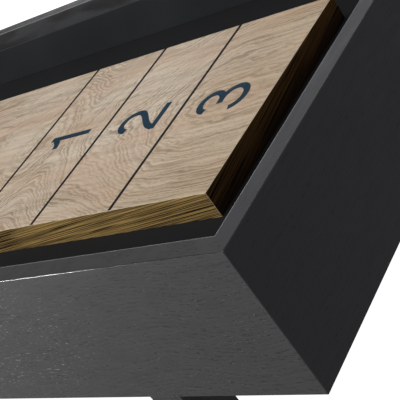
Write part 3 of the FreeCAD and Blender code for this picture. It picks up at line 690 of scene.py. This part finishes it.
def print_marks():
    """Three lines across each end of the playfield, with a number before each of the first three lines."""
    low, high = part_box("playfield_top_layer")
    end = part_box("playfield_lipping_right_end")[1].x
    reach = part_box("playfield_lipping_far")[1].y - 0.6 * MM
    bottom, top = high.z - INK_DEPTH, high.z + INK_HEIGHT
    line_ink = printed_ink("line_ink", LINE_INK)
    digit_ink = printed_ink("digit_ink", DIGIT_INK)
    strokes = digit_strokes()
    for side, turn in (("right", 1), ("left", -1)):
        for letter, place in LINE_PLACES.items():
            across = [((end - place) * turn, -reach), ((end - place) * turn, reach)]
            solid = ribbon_solid(ribbon(across, LINE_WIDTH), bottom, top)
            ride_on_table(join_solids(f"line_{side}_{letter}", [solid], line_ink))
        for digit, place in DIGIT_PLACES.items():
            foot = end - place + DIGIT_HEIGHT / 2
            solids = []
            for layer, stroke in enumerate(strokes[digit]):
                path = [
                    ((foot - up * DIGIT_HEIGHT) * turn, (across - DIGIT_WIDTH / 2) * DIGIT_HEIGHT * turn)
                    for across, up in stroke
                ]
                lift = layer * STROKE_STEP
                solids.append(ribbon_solid(ribbon(path, STROKE * DIGIT_HEIGHT), bottom - lift, top + lift))
            ride_on_table(join_solids(f"number_{side}_{digit}", solids, digit_ink))


def ride_on_table(piece):
    """A printed mark belongs to the playing surface."""
    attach(piece, "table")


# ---------------------------------------------------------------- turned and threaded pieces


def round_ring(radius):
    return lambda angle: radius


def hexagon_ring(across_flats, limit=math.inf):
    """The radius of a hexagon at an angle, cut back to a limit where its corners are turned off."""

    def radius(angle):
        from_flat = (angle + math.pi / 6) % (math.pi / 3) - math.pi / 6
        return min(across_flats / 2 / math.cos(from_flat), limit)

    return radius


def thread_rings(start, end, diameter, pitch, hand=1):
    """Rings of a screw thread from one level to another, running out over a short lead at the end."""
    lead = 1.0 * MM
    depth = 0.6 * pitch
    count = max(2, round(abs(end - start) / pitch * 5))
    rings = []
    for i in range(count + 1):
        level = start + (end - start) * i / count
        out_of_end = min(1.0, abs(end - level) / lead)

        def radius(angle, level=level, limit=diameter / 2 - lead * 0.7 * (1 - out_of_end)):
            turn = (level / pitch - hand * angle / math.tau) % 1
            return min(diameter / 2 - depth * abs(2 * turn - 1), limit)

        rings.append((level, radius))
    return rings


def lathe(rings, aim, segments=36):
    """Vertices and faces of a closed surface through rings of (level along Z, radius at an angle)."""
    vertices, faces = [], []
    for level, radius in rings:
        for k in range(segments):
            angle = math.tau * k / segments
            reach = radius(angle)
            point = aim @ Vector((reach * math.cos(angle), reach * math.sin(angle), level))
            vertices.append(tuple(point))
    for i in range(len(rings) - 1):
        for k in range(segments):
            a, b = i * segments + k, i * segments + (k + 1) % segments
            faces.append((a, b, b + segments, a + segments))
    last = (len(rings) - 1) * segments
    faces.append(tuple(reversed(range(segments))))
    faces.append(tuple(range(last, last + segments)))
    return vertices, faces


def hexagon_rings(low, high, across_flats):
    """A hexagon between two levels with its corners turned off at both faces."""
    turned_off = 0.94
    corner = across_flats / math.sqrt(3)
    drop = corner * (1 - turned_off) * 0.6
    face = hexagon_ring(across_flats, corner * turned_off)
    body = hexagon_ring(across_flats)
    return [(low, face), (low + drop, body), (high - drop, body), (high, face)]


def foot_stems(material):
    """Threaded stems that stand for the plain CAD ones, whose nodes and bodies have the same names."""
    foot_height, foot_radius, foot_round = 5 * MM, 9.9 * MM, 0.5 * MM
    hexagon_height, across_flats = 9 * MM, 17 * MM
    diameter, pitch = 10 * MM, 1.5 * MM
    for node in nodes_named("foot_stem_"):
        low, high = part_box(node)
        middle = (low + high) / 2
        under = low.z + foot_height
        over = under + hexagon_height
        foot = round_ring(foot_radius)
        rings = [(low.z, round_ring(foot_radius - foot_round)), (low.z + foot_round, foot), (under, foot)]
        rings += hexagon_rings(under, over, across_flats)
        rings += thread_rings(over, high.z, diameter, pitch)
        aim = Matrix.Translation((middle.x, middle.y, 0))
        piece = join_solids(f"{node}_threaded", [lathe(rings, aim)], material)
        smooth(piece, 32)
        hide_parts(node)
        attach(piece, node)


def turnbuckles(material):
    """Adjuster rods with a right hand thread at one end and a left hand one at the other."""
    half_hexagon, across_flats = 18 * MM, 22 * MM
    diameter, pitch = 12 * MM, 1.75 * MM
    for node in nodes_named("adjuster_turnbuckle_"):
        low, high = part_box(node)
        middle = (low + high) / 2
        reach = high.y - middle.y
        rings = list(reversed(thread_rings(-half_hexagon, -reach, diameter, pitch, hand=-1)))
        rings += hexagon_rings(-half_hexagon, half_hexagon, across_flats)
        rings += thread_rings(half_hexagon, reach, diameter, pitch)
        aim = Matrix.Translation(middle) @ Matrix.Rotation(-math.pi / 2, 4, "X")
        piece = join_solids(f"{node}_threaded", [lathe(rings, aim)], material)
        smooth(piece, 32)
        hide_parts(node)
        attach(piece, node)


def smooth(piece, degrees):
    """Shades a piece smooth except over edges sharper than the angle given."""
    piece.data.shade_smooth()
    piece.data.set_sharp_from_angle(angle=math.radians(degrees))


# ---------------------------------------------------------------- camera, lights and stage

CAMERA_AZIMUTH = math.radians(48.45)
CAMERA_ELEVATION = math.radians(25.64)
CAMERA_ROLL = math.radians(36.2)
CAMERA_DISTANCE = 1.2607
CAMERA_LENS_MM = 98.6
# the point looked at, from the playfield's near right upper corner
CAMERA_AIM_OFFSET = Vector((-1.2 * MM, -11.8 * MM, 0))


def make_camera():
    """Looks down over the near right corner of the cradle, leaning to one side."""
    lipping_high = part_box("playfield_lipping_right_end")[1]
    near_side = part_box("playfield_lipping_near")[0].y
    target = Vector((lipping_high.x, near_side, lipping_high.z)) + CAMERA_AIM_OFFSET
    back = Vector((
        math.sin(CAMERA_AZIMUTH) * math.cos(CAMERA_ELEVATION),
        -math.cos(CAMERA_AZIMUTH) * math.cos(CAMERA_ELEVATION),
        math.sin(CAMERA_ELEVATION),
    ))
    camera = bpy.data.objects.new("Camera", bpy.data.cameras.new("Camera"))
    camera.data.lens = CAMERA_LENS_MM
    camera.data.clip_start = 0.05
    camera.data.clip_end = 100
    level = (-back).to_track_quat("-Z", "Y")
    camera.rotation_mode = "QUATERNION"
    camera.rotation_quaternion = level @ Quaternion((0, 0, 1), -CAMERA_ROLL)
    camera.location = target + back * CAMERA_DISTANCE
    scene.collection.objects.link(camera)
    scene.camera = camera


def area_light(name, place, target, width, height, watts):
    """A rectangular soft white light at a place, facing a target."""
    light = bpy.data.objects.new(name, bpy.data.lights.new(name, "AREA"))
    light.data.shape = "RECTANGLE"
    light.data.size = width
    light.data.size_y = height
    light.data.energy = watts
    light.location = place
    light.rotation_euler = (Vector(target) - Vector(place)).to_track_quat("-Z", "Y").to_euler()
    scene.collection.objects.link(light)


def stage_piece(name, vertices, faces, base, glow):
    """A plain white surface of the studio, seen by the camera but lighting nothing."""
    mesh = bpy.data.meshes.new(name)
    mesh.from_pydata(vertices, [], faces)
    piece = bpy.data.objects.new(name, mesh)
    piece.visible_diffuse = False
    piece.visible_glossy = False
    scene.collection.objects.link(piece)
    material = bpy.data.materials.new(name)
    material.use_nodes = True
    shader = material.node_tree.nodes["Principled BSDF"]
    shader.inputs["Base Color"].default_value = (base, base, base, 1)
    shader.inputs["Roughness"].default_value = 0.9
    shader.inputs["Emission Color"].default_value = (1, 1, 1, 1)
    shader.inputs["Emission Strength"].default_value = glow
    mesh.materials.append(material)
    return piece


def make_stage():
    """A white floor with a white wall and ceiling far off round it, under an even dim surround."""
    reach, height = 40, 40
    corners = [(-reach, -reach), (reach, -reach), (reach, reach), (-reach, reach)]
    low = [(x, y, 0) for x, y in corners]
    high = [(x, y, height) for x, y in corners]
    stage_piece("floor", low, [(0, 1, 2, 3)], 0.3, 0.96)
    sides = [(i, (i + 1) % 4, (i + 1) % 4 + 4, i + 4) for i in range(4)]
    backdrop = stage_piece("backdrop", low + high, sides + [(4, 5, 6, 7)], 0.0, 1.0)
    backdrop.visible_shadow = False

    world = bpy.data.worlds.new("surround")
    scene.world = world
    world.use_nodes = True
    background = world.node_tree.nodes["Background"]
    background.inputs["Color"].default_value = (1, 1, 1, 1)
    background.inputs["Strength"].default_value = 0.22


dress_cradle()
dress_playfield()
dress_hardware()
print_marks()
foot_stems(plated_steel("stem_zinc", ZINC))
turnbuckles(plated_steel("rod_zinc", ZINC))
make_camera()
make_stage()
area_light("overhead", (0.15, -0.8, 6.0), target=(0.15, 0, 0.8), width=5.0, height=2.6, watts=142)
area_light("front", (0.3, -5.6, 4.3), target=(1.2, 0, 0.8), width=1.6, height=0.5, watts=105)
area_light("low_left", (-7.2, -6.95, 0.40), target=(1.4, -0.4, 0.6), width=3.0, height=0.7, watts=800)
area_light("back_left", (-0.8, 3.8, 1.9), target=(1.4, 0.3, 0.8), width=3.2, height=0.9, watts=15)
# lower than the rim, so it lights only the far side's outer faces and the legs
area_light("back_low", (-1.5, 6.5, 0.36), target=(0.0, 0.4, 0.5), width=6.0, height=0.7, watts=260)
